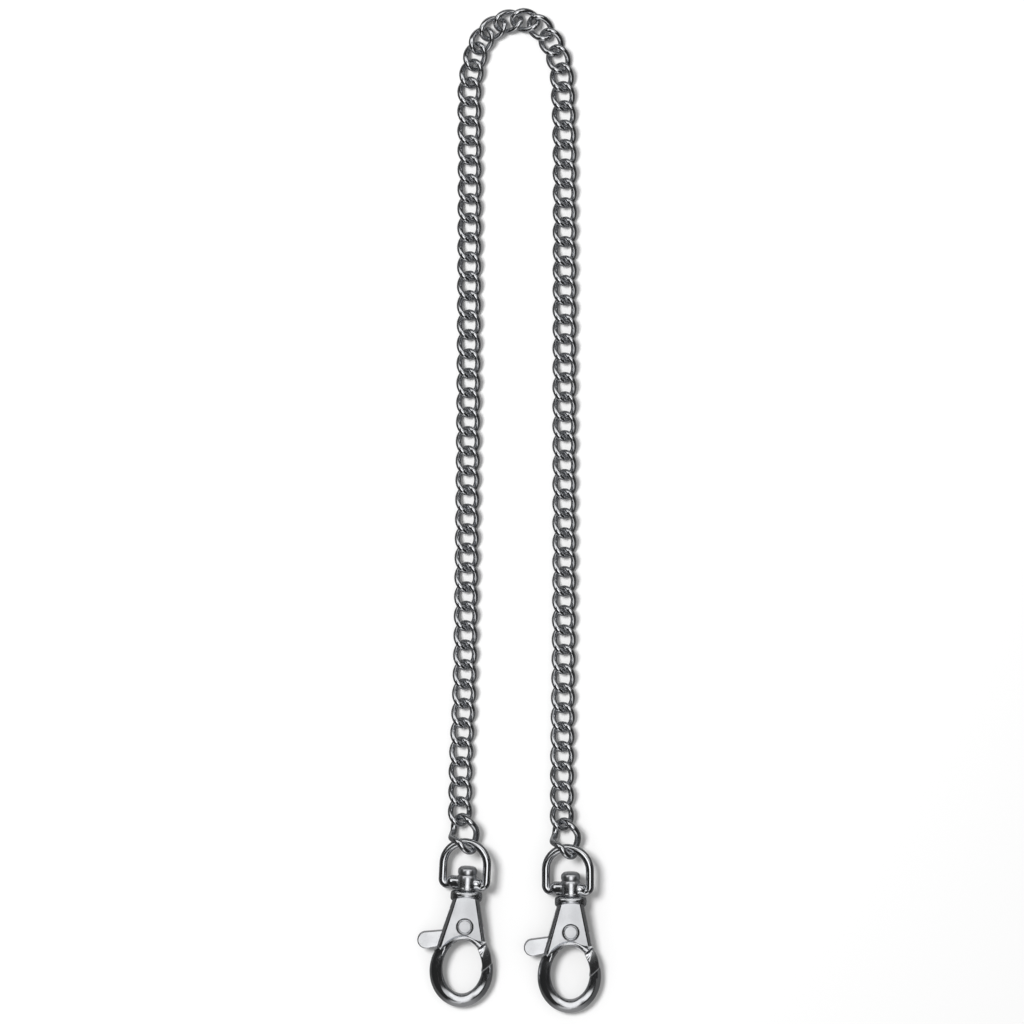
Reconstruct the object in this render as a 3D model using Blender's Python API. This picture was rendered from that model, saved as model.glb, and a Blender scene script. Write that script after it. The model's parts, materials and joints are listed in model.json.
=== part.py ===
"""Wallet chain: curb links, two end links and two swivel trigger snap hooks, laid flat in a U on a table.

Frame: the table is z = 0 and +Z points up. The hooks lie towards -Y and the fold of the chain towards +Y.
The origin is the centre of the laid-out chain's outline, on the table.
Every hook is built in its own frame: y = 0 at the top of the collar, +y along the swivel pin towards the eye,
z = 0 in the middle of its thickness. The hook frames, and one empty for each hinge, are parents of the pieces.
"""

import math

import bmesh
import bpy
from mathutils import Matrix, Vector

MM = 0.001

# Curb links
WIRE_R = 0.625 * MM
LINK_TAUT = 4.60 * MM  # pitch of two links pulled tight, which is the length of the opening in a link
LINK_HALF_WIDTH = 2.22 * MM  # wire centre to link axis
LINK_TWIST = math.radians(-45)  # each end of a link is turned this far, one up and one down
LINK_SQUARENESS = 2.4  # exponent of the link's oval: 2 is an ellipse
LINK_POINTS = 12
WIRE_SIDES = 6

# End links, which join the chain to the swivel eyes
END_WIRE_R = 0.75 * MM
END_HALF_LENGTH = 4.3 * MM
END_HALF_WIDTH = 2.95 * MM
END_TWIST = math.radians(-50)
END_SETTLE = 0.65  # the twist is complete at this share of the half length
END_SLACK = 0.30 * MM
END_ROLL = math.radians(-7)  # the end link is rolled this far about its length, its left side up

# How the links lie
PITCH = 4.474 * MM  # along the strands
FOLD_PITCH = {"left": 3.957 * MM, "right": 4.280 * MM}  # around the fold, where the chain is slack
FOLD_STEPS = 5  # pitches on each side of the crown link that are slack
CROWN_LINKS = 7  # single links over the fold
CHAIN_LIFT = 0.6 * MM  # the last curb link is held up this far by the end link
LIFT_SPAN = 13 * MM  # length of chain that leaves the table for it
GROUP_SIZES = {"left": [3, 3] + [2] * 17, "right": [3] + [2] * 18}  # links in each piece, from the end link up
GROUP_OVERLAP = 0.20 * MM  # how far the links of one piece sink into each other
WIRE_SECTION_SCALE = 1.05  # keeps the six-sided wire's area near the round wire's

# Plan of the chain's centre line from the left end link, over the fold, to the right end link
PLAN = [
    (-13.0, -76.0),
    (-13.3, -66.0),
    (-12.9, -58.0),
    (-12.25, -46.0),
    (-11.75, -24.0),
    (-11.2, 25.0),
    (-10.9, 80.0),
    (-11.05, 95.0),
    (-10.2, 103.0),
    (-8.1, 107.7),
    (-5.6, 110.7),
    (-1.8, 112.0),
    (1.9, 112.6),
    (5.6, 110.8),
    (7.9, 106.9),
    (10.0, 102.5),
    (10.6, 95.0),
    (11.0, 80.0),
    (10.95, 25.0),
    (10.9, -21.0),
    (10.45, -56.0),
    (10.35, -66.0),
    (10.35, -77.0),
]
CROWN_AT = (1.9, 112.6)
CENTRE_SHIFT = Vector((1.785 * MM, 0.549 * MM, 0))

# Hooks: place of the collar top, and how far the hook is turned in plan
HOOKS = {
    "left": {"at": (-11.55, -88.1), "turn": -3.0},
    "right": {"at": (12.35, -89.4), "turn": 0.0},
}
HOOK_TILT = math.radians(3.6)  # the hook lies on the rim of its collar and the end of its ring
HOOK_HEIGHT = 3.76 * MM  # of the collar top's centre above the table
EYE_TURN = math.radians(12)  # the eye's right side is turned up about the swivel pin

# Swivel
COLLAR_R = 3.65 * MM
COLLAR_HEIGHT = 2.35 * MM
COLLAR_ROUND = 0.5 * MM
COLLAR_NECK = (2.5 * MM, -3.25 * MM)  # radius and y where the cone under the collar ends in the body
EYE_WIRE_R = 0.93 * MM
EYE_HALF_WIDTH = 5.15 * MM  # wire centre to the middle of the eye
EYE_OFFSET = -0.65 * MM  # the middle of the eye is this far from the swivel axis
EYE_BAR_Y = 1.0 * MM
EYE_ARCH_Y = 5.95 * MM  # where the round top starts
EYE_CORNER_R = 1.3 * MM
EYE_FLARE = (2.4 * MM, 4.2 * MM, 0.6)  # the bar thickens between these distances from the swivel axis
BOSS_R = 2.45 * MM
BOSS_Y = (0.12 * MM, 3.60 * MM)
BOSS_ROUND = 0.25 * MM
BOSS_BORE_R = 1.38 * MM
PIN_R = 1.30 * MM
PIN_HEAD_R = 2.2 * MM
PIN_HEAD_Y = (3.72 * MM, 5.60 * MM)
PIN_FOOT_Y = -2.6 * MM
PIN_HEAD_ROUND = 0.35 * MM
PIN_SEAT_R = 1.36 * MM
PIN_SEAT_Y = -2.8 * MM
TURNED_STEPS = 20

# Hook body
BODY_HALF_THICK = 2.1 * MM
BODY_CHAMFER = 0.75 * MM
BODY_TOP = (3.0 * MM, -1.9 * MM)  # half width and y where the tapered part meets the collar
EYELET_OUTER = (-0.3 * MM, -18.6 * MM, 7.3 * MM, 8.5 * MM)  # centre x, y and half axes of the hook ring
EYELET_INNER = (-0.1 * MM, -17.9 * MM, 4.55 * MM, 6.15 * MM)
TANGENT_LEFT = math.radians(166)  # where the left edge meets the ring
RIGHT_CORNER = (4.95 * MM, -11.5 * MM)
NOSE_OUTER = math.radians(14)  # the nose's tip on the outer oval
NOSE_INNER = math.radians(-7)  # and on the inner oval

# Trigger, which turns on the rivet: its thumb tab stands out on the left and its gate closes the ring
PIVOT = (0.0, -8.15 * MM)
BODY_CUT_R = 6.0 * MM  # the body ends this far from the pivot, above the gate
BODY_CUT_FROM = math.radians(-60)  # and this is where the cut meets the ring's opening
EYELET_INNER_START = math.radians(47)  # on the inner oval
GATE_CUT_R = 6.15 * MM
TRIGGER_HALF_THICK = 1.0 * MM
SLOT_HALF_HEIGHT = 1.15 * MM
SLOT_HUB_R = 3.1 * MM
SLOT_LEFT = (math.radians(150), math.radians(218.5), 10.5 * MM)
SLOT_RIGHT = (math.radians(-112), math.radians(-22), 7.4 * MM)
SLOT_FLARE = math.radians(75)  # the slot's straight sides meet its round part this far round
HUB_R = 2.75 * MM
TAB_AT = (-8.8 * MM, -11.9 * MM)  # centre of the tab's round end
TAB_R = 1.95 * MM
TAB_ROOT = (-3.0 * MM, -10.85 * MM)
TAB_ROOT_R = 1.65 * MM
ARM_HALF_THICK = 0.98 * MM
ARM_R = 1.15 * MM
ARM_AT = (4.55 * MM, -13.6 * MM)
GATE_HALF_THICK = 1.85 * MM
GATE_CHAMFER = 0.35 * MM
GATE_GAP = 0.22 * MM  # between the gate's tip and the nose
GATE_CUT = (math.radians(-36), math.radians(-54))  # the gate's end at the body, seen from the pivot
GATE_BULGE = (0.55, 0.25 * MM, 0.05 * MM)  # share of the way from the body to the nose, and how far out

# Rivet and spring
RIVET_R = 1.0 * MM
RIVET_HOLE_R = 1.06 * MM
RIVET_HEAD_R = 2.0 * MM
RIVET_HEAD_HEIGHT = 0.4 * MM
RIVET_CUP_R = 0.7 * MM  # of the drilled end
RIVET_DISH_R = 1.3 * MM  # of the turned-over rim
RIVET_DISH_DEPTH = 0.5 * MM
RIVET_CUP_DEPTH = 1.1 * MM
RIVET_ROUND = 0.12 * MM
REST_GAP = 0.03 * MM
SPRING_WIRE_R = 0.17 * MM
SPRING_COIL_R = 1.6 * MM
SPRING_TURNS = 2.25
SPRING_PITCH = 0.38 * MM
SPRING_FLOOR = -0.05 * MM
SPRING_POCKET_R = 2.05 * MM
SPRING_LEGS = (1.0 * MM, 1.2 * MM)  # length of the leg on the body and of the leg on the tab
SPRING_START = math.radians(100)
SPRING_STEPS = 10
LEG_ROOM = (math.radians(40), math.radians(240), 3.5 * MM)  # where the trigger is cut away for the legs
LEG_ROOM_Z = (-0.2 * MM, 2.2 * MM)

NICKEL = {"colour": (0.62, 0.63, 0.65, 1), "roughness": 0.22}
SATIN_NICKEL = {"colour": (0.70, 0.71, 0.73, 1), "roughness": 0.38}
STEEL = {"colour": (0.50, 0.51, 0.53, 1), "roughness": 0.30}


def clear_scene():
    for obj in list(bpy.data.objects):
        bpy.data.objects.remove(obj)


def metal(name, look):
    material = bpy.data.materials.new(name)
    material.use_nodes = True
    shader = material.node_tree.nodes["Principled BSDF"]
    shader.inputs["Base Color"].default_value = look["colour"]
    shader.inputs["Roughness"].default_value = look["roughness"]
    shader.inputs["Metallic"].default_value = 1.0
    return material


def add_object(name, rings, material=None, closed=False):
    """An object from rings of points, each joined to the next; the ends are capped unless the rings close up."""
    mesh = bmesh.new()
    made = [[mesh.verts.new(point) for point in ring] for ring in rings]
    pairs = list(zip(made, made[1:]))
    if closed:
        pairs.append((made[-1], made[0]))
    for low, high in pairs:
        for i in range(len(low)):
            j = (i + 1) % len(low)
            mesh.faces.new((low[i], low[j], high[j], high[i]))
    if not closed:
        mesh.faces.new(reversed(made[0]))
        mesh.faces.new(made[-1])
    bmesh.ops.recalc_face_normals(mesh, faces=mesh.faces)
    data = bpy.data.meshes.new(name)
    mesh.to_mesh(data)
    mesh.free()
    data.shade_smooth()
    data.set_sharp_from_angle(angle=math.radians(35))
    obj = bpy.data.objects.new(name, data)
    bpy.context.scene.collection.objects.link(obj)
    if material:
        data.materials.append(material)
    return obj


def as_helper(obj):
    obj.hide_render = True
    obj.display_type = "WIRE"
    return obj


def combine(obj, other, operation):
    """A Boolean of obj with a helper object in the same frame."""
    as_helper(other)
    other.parent = obj
    boolean = obj.modifiers.new(f"{operation.lower()}_{other.name}", "BOOLEAN")
    boolean.operation = operation
    boolean.object = other
    boolean.solver = "EXACT"
    return obj


def put(obj, parent, matrix=None):
    """Parents obj to an empty, at a place in that empty's frame."""
    obj.parent = parent
    obj.matrix_parent_inverse = Matrix.Identity(4)
    obj.matrix_basis = matrix or Matrix.Identity(4)
    return obj


def empty(name, matrix):
    made = bpy.data.objects.new(name, None)
    made.empty_display_size = 2 * MM
    made.matrix_world = matrix
    bpy.context.scene.collection.objects.link(made)
    return made


def frame_at(origin, x_axis, z_axis):
    """A matrix with its origin and x axis as given and its z axis as near z_axis as it can be."""
    x = x_axis.normalized()
    y = z_axis.cross(x).normalized()
    z = x.cross(y)
    rotation = Matrix((x, y, z)).transposed()
    return Matrix.Translation(origin) @ rotation.to_4x4()


def circle_points(radius, steps, phase=0.0):
    return [
        (radius * math.cos(a), radius * math.sin(a))
        for a in (phase + 2 * math.pi * i / steps for i in range(steps))
    ]


def turned(name, profile, material=None, steps=TURNED_STEPS):
    """A solid turned about y from a profile of (radius, y) pairs, its ends capped."""
    rings = [
        [Vector((x, y, z)) for x, z in circle_points(radius, steps)] for radius, y in profile
    ]
    return add_object(name, rings, material)


def disc_stack(name, profile, centre, material=None, steps=TURNED_STEPS):
    """The same about an axis along z through centre, from (radius, z) pairs."""
    rings = [
        [Vector((centre[0] + x, centre[1] + y, z)) for x, y in circle_points(radius, steps)]
        for radius, z in profile
    ]
    return add_object(name, rings, material)


def swept(name, points, radius, sides, outwards, material=None, closed=True):
    """A round bar along points, radius(i) thick; the section's first corner leans to outwards(i)."""
    rings = []
    count = len(points)
    for i, point in enumerate(points):
        ahead = points[(i + 1) % count] if closed else points[min(i + 1, count - 1)]
        behind = points[i - 1] if closed else points[max(i - 1, 0)]
        along = (ahead - behind).normalized()
        out = outwards(i)
        out = (out - along * out.dot(along)).normalized()
        across = along.cross(out)
        rings.append(
            [point + out * a + across * b for a, b in circle_points(radius(i), sides)]
        )
    return add_object(name, rings, material, closed)


# Chain


def link_centre_line(half_length, half_width, count, end_twist=LINK_TWIST, settle=None):
    """A curb link's centre line: an oval along x, turned about x from one end to the other."""
    points = []
    for i in range(count):
        angle = 2 * math.pi * i / count
        c, s = math.cos(angle), math.sin(angle)
        grow = (abs(c) ** LINK_SQUARENESS + abs(s) ** LINK_SQUARENESS) ** (-1 / LINK_SQUARENESS)
        along, wide = half_length * grow * c, half_width * grow * s
        share = along / half_length
        if settle:
            share = math.sin(max(-1.0, min(1.0, share / settle)) * math.pi / 2)
        twist = end_twist * share
        points.append(Vector((along, wide * math.cos(twist), wide * math.sin(twist))))
    return points


def link_solid(name, line, radius, sides, material=None):
    return swept(name, line, lambda i: radius, sides, lambda i: line[i], material)


def curb_link(name, material=None):
    line = link_centre_line(LINK_TAUT / 2 + WIRE_R, LINK_HALF_WIDTH, LINK_POINTS)
    return link_solid(name, line, WIRE_R * WIRE_SECTION_SCALE, WIRE_SIDES, material)


def plan_curve(samples=24):
    """The centre line in plan, as a smooth curve through PLAN with its running length."""
    ends = [Vector(p) * 2 - Vector(q) for p, q in ((PLAN[0], PLAN[1]), (PLAN[-1], PLAN[-2]))]
    knots = [ends[0], *[Vector(p) for p in PLAN], ends[1]]
    points = []
    for p0, p1, p2, p3 in zip(knots, knots[1:], knots[2:], knots[3:]):
        for i in range(samples):
            t = i / samples
            points.append(
                0.5
                * (
                    2 * p1
                    + (p2 - p0) * t
                    + (2 * p0 - 5 * p1 + 4 * p2 - p3) * t**2
                    + (3 * p1 - p0 - 3 * p2 + p3) * t**3
                )
            )
    points.append(knots[-2])
    points = [p * MM for p in points]
    lengths = [0.0]
    for a, b in zip(points, points[1:]):
        lengths.append(lengths[-1] + (b - a).length)
    return points, lengths


def place_on(curve, length):
    """The point and direction at a running length along the curve."""
    points, lengths = curve
    i = max(k for k in range(len(points) - 1) if lengths[k] <= length)
    share = (length - lengths[i]) / (lengths[i + 1] - lengths[i])
    return points[i].lerp(points[i + 1], share), (points[i + 1] - points[i]).normalized()


def link_stations(curve):
    """Running length of every link's centre, from the left end link to the right one."""
    points, lengths = curve
    crown = min(range(len(points)), key=lambda k: (points[k] - Vector(CROWN_AT) * MM).length)
    stations = [lengths[crown]]
    for side, way in (("left", -1), ("right", 1)):
        length = lengths[crown]
        for step in range(sum(GROUP_SIZES[side]) + CROWN_LINKS // 2):
            length += way * (FOLD_PITCH[side] if step < FOLD_STEPS else PITCH)
            stations.append(length)
    return sorted(stations)


def link_groups():
    """Names of the chain's pieces and the numbers of the links in each, from left to right."""
    groups, first = [], 0
    for n, size in enumerate(GROUP_SIZES["left"]):
        groups.append((f"left_chain_{n + 1:02d}", list(range(first, first + size))))
        first += size
    for n in range(CROWN_LINKS):
        groups.append((f"crown_link_{n + 1}", [first]))
        first += 1
    for n, size in reversed(list(enumerate(GROUP_SIZES["right"]))):
        groups.append((f"right_chain_{n + 1:02d}", list(range(first, first + size))))
        first += size
    return groups


def link_height(half_length, half_width, radius):
    """How far a flat-lying link's centre is above the table."""
    return radius - min(p.z for p in link_centre_line(half_length, half_width, 96))


def lift_at(length, ends):
    """How far the chain is off the table, and its slope, at a running length between its two ends."""
    first, last = ends
    share = max(0.0, 1 - min(length - first, last - length) / LIFT_SPAN)
    slope = 2 * CHAIN_LIFT * share / LIFT_SPAN
    return CHAIN_LIFT * share**2, -slope if length - first < last - length else slope


def link_matrix(curve, length, height, ends):
    """Where a link lies: its x axis runs along the chain from left to right over the fold."""
    point, along = place_on(curve, length)
    lift, slope = lift_at(length, ends)
    origin = Vector((point.x, point.y, height + lift)) + CENTRE_SHIFT
    return frame_at(origin, Vector((along.x, along.y, slope)), Vector((0, 0, 1)))


def chain(curve, material):
    """The curb chain. Each piece hangs on an empty at the hinge that joins it to the piece nearer the crown."""
    stations = link_stations(curve)
    ends = stations[0], stations[-1]
    height = link_height(LINK_TAUT / 2 + WIRE_R, LINK_HALF_WIDTH, WIRE_R)
    inner_pitch = LINK_TAUT + GROUP_OVERLAP
    crown = sum(GROUP_SIZES["left"]) + CROWN_LINKS // 2
    last_links = {}
    for name, links in link_groups():
        middle = sum(stations[k] for k in links) / len(links)
        places = [
            link_matrix(curve, middle + (i - (len(links) - 1) / 2) * inner_pitch, height, ends)
            for i in range(len(links))
        ]
        if crown in links:
            hinge = empty("hinge_" + name, places[0])
        else:
            near = links[-1] if links[0] < crown else links[0]
            beyond = near + 1 if links[0] < crown else near - 1
            hinge_at = link_matrix(curve, (stations[near] + stations[beyond]) / 2, height, ends)
            hinge = empty("hinge_" + name, hinge_at)
        to_hinge = hinge.matrix_world.inverted()
        piece = put(curb_link(name, material), hinge, to_hinge @ places[0])
        for i, place in enumerate(places[1:]):
            extra = curb_link(f"{name}_joined_{i + 2}")
            combine(piece, extra, "UNION")
            extra.matrix_basis = places[0].inverted() @ place
        if 0 in links:
            last_links["left"] = places[0]
        if len(stations) - 1 in links:
            last_links["right"] = places[-1]
    return last_links


def end_link(side, last_link, eye_top, material):
    """The larger link between the strand's last curb link and the swivel eye."""
    along = last_link.to_3x3().col[0] * (-1 if side == "left" else 1)
    hinge_at = last_link.translation + along * (LINK_TAUT / 2)
    away = (eye_top - hinge_at).normalized()
    hinge = empty(f"hinge_{side}_end_link", frame_at(hinge_at, away, Vector((0, 0, 1))))
    centre = hinge_at + away * (END_HALF_LENGTH - END_WIRE_R - END_SLACK)
    place = frame_at(centre, away, Vector((0, 0, 1))) @ Matrix.Rotation(END_ROLL, 4, "X")
    line = link_centre_line(END_HALF_LENGTH, END_HALF_WIDTH, 16, END_TWIST, END_SETTLE)
    piece = link_solid(f"{side}_end_link", line, END_WIRE_R, 8, material)
    put(piece, hinge, hinge.matrix_world.inverted() @ place)


# Hook, in its own frame


def ellipse_point(oval, angle):
    x, y, a, b = oval
    return x + a * math.cos(angle), y + b * math.sin(angle)


def arc(oval, start, end, steps):
    return [ellipse_point(oval, start + (end - start) * i / steps) for i in range(steps + 1)]


def pivot_circle(radius):
    return (*PIVOT, radius, radius)


def inset_outline(outline, distance):
    """The outline moved inwards; it runs anticlockwise."""
    moved = []
    for i, point in enumerate(outline):
        before, after = Vector(outline[i - 1]), Vector(outline[(i + 1) % len(outline)])
        here = Vector(point)
        first, second = (here - before).normalized(), (after - here).normalized()
        normal = Vector((-first.y - second.y, first.x + second.x)).normalized()
        lean = max(0.6, normal.dot(Vector((-first.y, first.x))))
        moved.append(here + normal * distance / lean)
    return moved


def slab(name, outline, half_thick, chamfer=0.0, material=None, z=0.0):
    """A plate with this outline, chamfered all round on both faces."""
    levels = [(-half_thick, chamfer), (-half_thick + chamfer, 0), (half_thick - chamfer, 0)]
    levels.append((half_thick, chamfer))
    if not chamfer:
        levels = [levels[0], levels[-1]]
    rings = [
        [Vector((p[0], p[1], height + z)) for p in inset_outline(outline, inset)]
        for height, inset in levels
    ]
    return add_object(name, rings, material)


def body_outline():
    """The hook body seen from its face, anticlockwise from the collar's left side."""
    half, top = BODY_TOP
    cut = pivot_circle(BODY_CUT_R)
    corner = math.atan2(RIGHT_CORNER[1] - PIVOT[1], RIGHT_CORNER[0] - PIVOT[0])
    outline = [(-half, top)]
    outline += arc(EYELET_OUTER, TANGENT_LEFT, NOSE_OUTER + 2 * math.pi, 22)
    outline += arc(EYELET_INNER, NOSE_INNER, EYELET_INNER_START - 2 * math.pi, 26)
    outline += arc(cut, BODY_CUT_FROM, corner, 4)
    outline.append((half, top))
    return outline


def fan(start, end, radius):
    """A wedge between two directions from the pivot, as wide at the pivot as the slot's round part."""
    hub = pivot_circle(SLOT_HUB_R)
    outline = arc(pivot_circle(radius), start, end, 6)
    close = [ellipse_point(hub, end + SLOT_FLARE), ellipse_point(hub, start - SLOT_FLARE)]
    return outline + close


def hook_body(side, material):
    name = f"{side}_hook_body"
    body = slab(name, body_outline(), BODY_HALF_THICK, BODY_CHAMFER, material)
    collar = turned(
        f"{name}_collar",
        [
            (COLLAR_R - COLLAR_ROUND, 0),
            (COLLAR_R, -COLLAR_ROUND),
            (COLLAR_R, -COLLAR_HEIGHT + COLLAR_ROUND),
            COLLAR_NECK,
        ],
    )
    combine(body, collar, "UNION")
    seat = turned(f"{name}_pin_seat", [(PIN_SEAT_R, MM), (PIN_SEAT_R, PIN_SEAT_Y)])
    combine(body, seat, "DIFFERENCE")
    cutters = {
        "hub": arc(pivot_circle(SLOT_HUB_R), 0, 2 * math.pi * 19 / 20, 19),
        "left": fan(*SLOT_LEFT),
        "right": fan(*SLOT_RIGHT),
    }
    for part, outline in cutters.items():
        cutter = slab(f"{name}_slot_{part}", outline, SLOT_HALF_HEIGHT)
        combine(body, cutter, "DIFFERENCE")
    through = 2 * BODY_HALF_THICK
    hole = disc_stack(
        f"{name}_rivet_hole", [(RIVET_HOLE_R, -through), (RIVET_HOLE_R, through)], PIVOT
    )
    combine(body, hole, "DIFFERENCE")
    return body


def blend_outline(circles, step=math.radians(24)):
    """Anticlockwise outline round two circles (x, y, radius), joined by straight tangents."""
    outline = []
    for here, other in (circles, reversed(circles)):
        x, y, r = here
        start = tangent_angle(other, here)
        sweep = (tangent_angle(here, other) - start) % (2 * math.pi)
        steps = max(1, round(sweep / step))
        outline += arc((x, y, r, r), start, start + sweep, steps)
    return outline


def tangent_angle(first, second):
    """Direction from either circle's centre to their common outer tangent, on the right of first to second."""
    dx, dy = second[0] - first[0], second[1] - first[1]
    return math.atan2(dy, dx) - math.acos((first[2] - second[2]) / math.hypot(dx, dy))


def gate_outline():
    """The gate fills the ring between the body and the nose, anticlockwise from its bottom inner corner."""
    tip_outer = Vector(ellipse_point(EYELET_OUTER, NOSE_OUTER))
    tip_inner = Vector(ellipse_point(EYELET_INNER, NOSE_INNER))
    across = tip_outer - tip_inner
    back = Vector((-across.y, across.x)).normalized() * GATE_GAP
    outline = [tuple(tip_inner + back), tuple(tip_outer + back), line_to_ring()]
    outline += arc(pivot_circle(GATE_CUT_R), *GATE_CUT, 2)
    outline += arc(EYELET_INNER, math.radians(32), NOSE_INNER + math.radians(10), 3)
    return outline


def line_to_ring():
    """A point between the body's right corner and the nose, on the gate's outer side."""
    tip = Vector(ellipse_point(EYELET_OUTER, NOSE_OUTER))
    corner = Vector(RIGHT_CORNER)
    share, right, up = GATE_BULGE
    return corner.lerp(tip, share) + Vector((right, up))


def trigger(side, material):
    name = f"{side}_trigger"
    tab_outline = blend_outline([(*TAB_ROOT, TAB_ROOT_R), (*TAB_AT, TAB_R)])
    lever = slab(name, tab_outline, TRIGGER_HALF_THICK, material=material)
    arm_outline = blend_outline([(*PIVOT, HUB_R), (*ARM_AT, ARM_R)])
    arm = slab(f"{name}_arm", arm_outline, ARM_HALF_THICK)
    combine(lever, arm, "UNION")
    gate = slab(f"{name}_gate", gate_outline(), GATE_HALF_THICK, GATE_CHAMFER)
    combine(lever, gate, "UNION")
    pocket_floor = SPRING_FLOOR - SPRING_WIRE_R - REST_GAP
    pocket = disc_stack(
        f"{name}_spring_pocket",
        [(SPRING_POCKET_R, pocket_floor), (SPRING_POCKET_R, BODY_HALF_THICK)],
        PIVOT,
    )
    combine(lever, pocket, "DIFFERENCE")
    low, high = LEG_ROOM_Z
    leg_room = slab(
        f"{name}_leg_room", fan(*LEG_ROOM), (high - low) / 2, z=(high + low) / 2
    )
    combine(lever, leg_room, "DIFFERENCE")
    through = 2 * BODY_HALF_THICK
    hole = disc_stack(
        f"{name}_hole", [(RIVET_HOLE_R, -through), (RIVET_HOLE_R, through)], PIVOT
    )
    combine(lever, hole, "DIFFERENCE")
    return lever


def pivot_rivet(side, material):
    """A rivet with a head on each face and a cupped end in the front head."""
    seat = BODY_HALF_THICK + REST_GAP
    top = seat + RIVET_HEAD_HEIGHT
    soft = RIVET_ROUND
    profile = [
        (RIVET_HEAD_R - soft, -top),
        (RIVET_HEAD_R, -top + soft),
        (RIVET_HEAD_R, -seat),
        (RIVET_R, -seat),
        (RIVET_R, seat),
        (RIVET_HEAD_R, seat),
        (RIVET_HEAD_R, top - soft),
        (RIVET_HEAD_R - soft, top),
        (RIVET_DISH_R, top),
        (RIVET_CUP_R, top - RIVET_DISH_DEPTH),
        (RIVET_CUP_R, top - RIVET_CUP_DEPTH),
    ]
    return disc_stack(f"{side}_pivot_rivet", profile, PIVOT, material, steps=16)


def trigger_spring(side, material):
    """A torsion spring round the rivet, one leg up the body and the other along the tab."""
    first = SPRING_START
    count = round(SPRING_TURNS * SPRING_STEPS)
    points = []
    for i in range(count + 1):
        a = first + 2 * math.pi * i / SPRING_STEPS
        height = SPRING_FLOOR + SPRING_WIRE_R + SPRING_PITCH * i / SPRING_STEPS
        points.append(
            Vector(
                (
                    PIVOT[0] + SPRING_COIL_R * math.cos(a),
                    PIVOT[1] + SPRING_COIL_R * math.sin(a),
                    height,
                )
            )
        )
    last = first + 2 * math.pi * count / SPRING_STEPS
    fixed_leg, moving_leg = SPRING_LEGS
    points.insert(0, points[0] + Vector((math.cos(first), math.sin(first), 0)) * fixed_leg)
    points.append(points[-1] + Vector((math.cos(last), math.sin(last), 0)) * moving_leg)
    up = Vector((0, 0, 1))
    return swept(
        f"{side}_trigger_spring", points, lambda i: SPRING_WIRE_R, 5, lambda i: up, material, closed=False
    )


def eye_flare(x):
    """How much thicker the eye's bar is at this distance from the swivel axis than its wire."""
    near, far, extra = EYE_FLARE
    return extra * max(0.0, min(1.0, (far - abs(x)) / (far - near)))


def eye_centre_line():
    """The eye's D: a round top, straight sides, rounded corners and a bottom bar, anticlockwise."""
    points = []
    for i in range(9):
        a = math.pi * i / 8
        points.append((EYE_HALF_WIDTH * math.cos(a), EYE_ARCH_Y + EYE_HALF_WIDTH * math.sin(a)))
    low = EYE_BAR_Y + EYE_CORNER_R
    for centre, start in ((-1, math.pi), (1, 1.5 * math.pi)):
        x = centre * (EYE_HALF_WIDTH - EYE_CORNER_R)
        for i in range(4):
            a = start + math.pi / 2 * i / 3
            points.append((x + EYE_CORNER_R * math.cos(a), low + EYE_CORNER_R * math.sin(a)))
        if centre < 0:
            points += [(x - EYE_OFFSET, EYE_BAR_Y) for x in (-EYE_FLARE[0], EYE_FLARE[0])]
    line = [Vector((x + EYE_OFFSET, y, 0)) for x, y in points]
    for point in line:
        if point.y < low:
            point.y += EYE_WIRE_R * eye_flare(point.x)
    return line


def swivel_eye(side, material):
    line = eye_centre_line()
    up = Vector((0, 0, 1))
    name = f"{side}_swivel_eye"

    def thickness(i):
        return EYE_WIRE_R * (1 + eye_flare(line[i].x) * (line[i].y < EYE_ARCH_Y))

    eye = swept(name, line, thickness, 8, lambda i: up, material)
    soft = BOSS_ROUND
    low, high = BOSS_Y
    boss = turned(
        f"{name}_boss",
        [(BOSS_R - soft, low), (BOSS_R, low + soft), (BOSS_R, high - soft), (BOSS_R - soft, high)],
    )
    combine(eye, boss, "UNION")
    bore = turned(f"{name}_bore", [(BOSS_BORE_R, low - MM), (BOSS_BORE_R, high + MM)])
    combine(eye, bore, "DIFFERENCE")
    return eye


def swivel_pin(side, material):
    """A headed pin through the eye's boss, riveted into the hook's collar."""
    low, high = PIN_HEAD_Y
    soft = PIN_HEAD_ROUND
    return turned(
        f"{side}_swivel_pin",
        [
            (PIN_R, PIN_FOOT_Y),
            (PIN_R, low),
            (PIN_HEAD_R, low),
            (PIN_HEAD_R, high - 3 * soft),
            (0.85 * PIN_HEAD_R, high - soft),
            (0.5 * PIN_HEAD_R, high),
            (0.3 * PIN_HEAD_R, high - soft / 2),
        ],
        material,
    )


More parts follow.
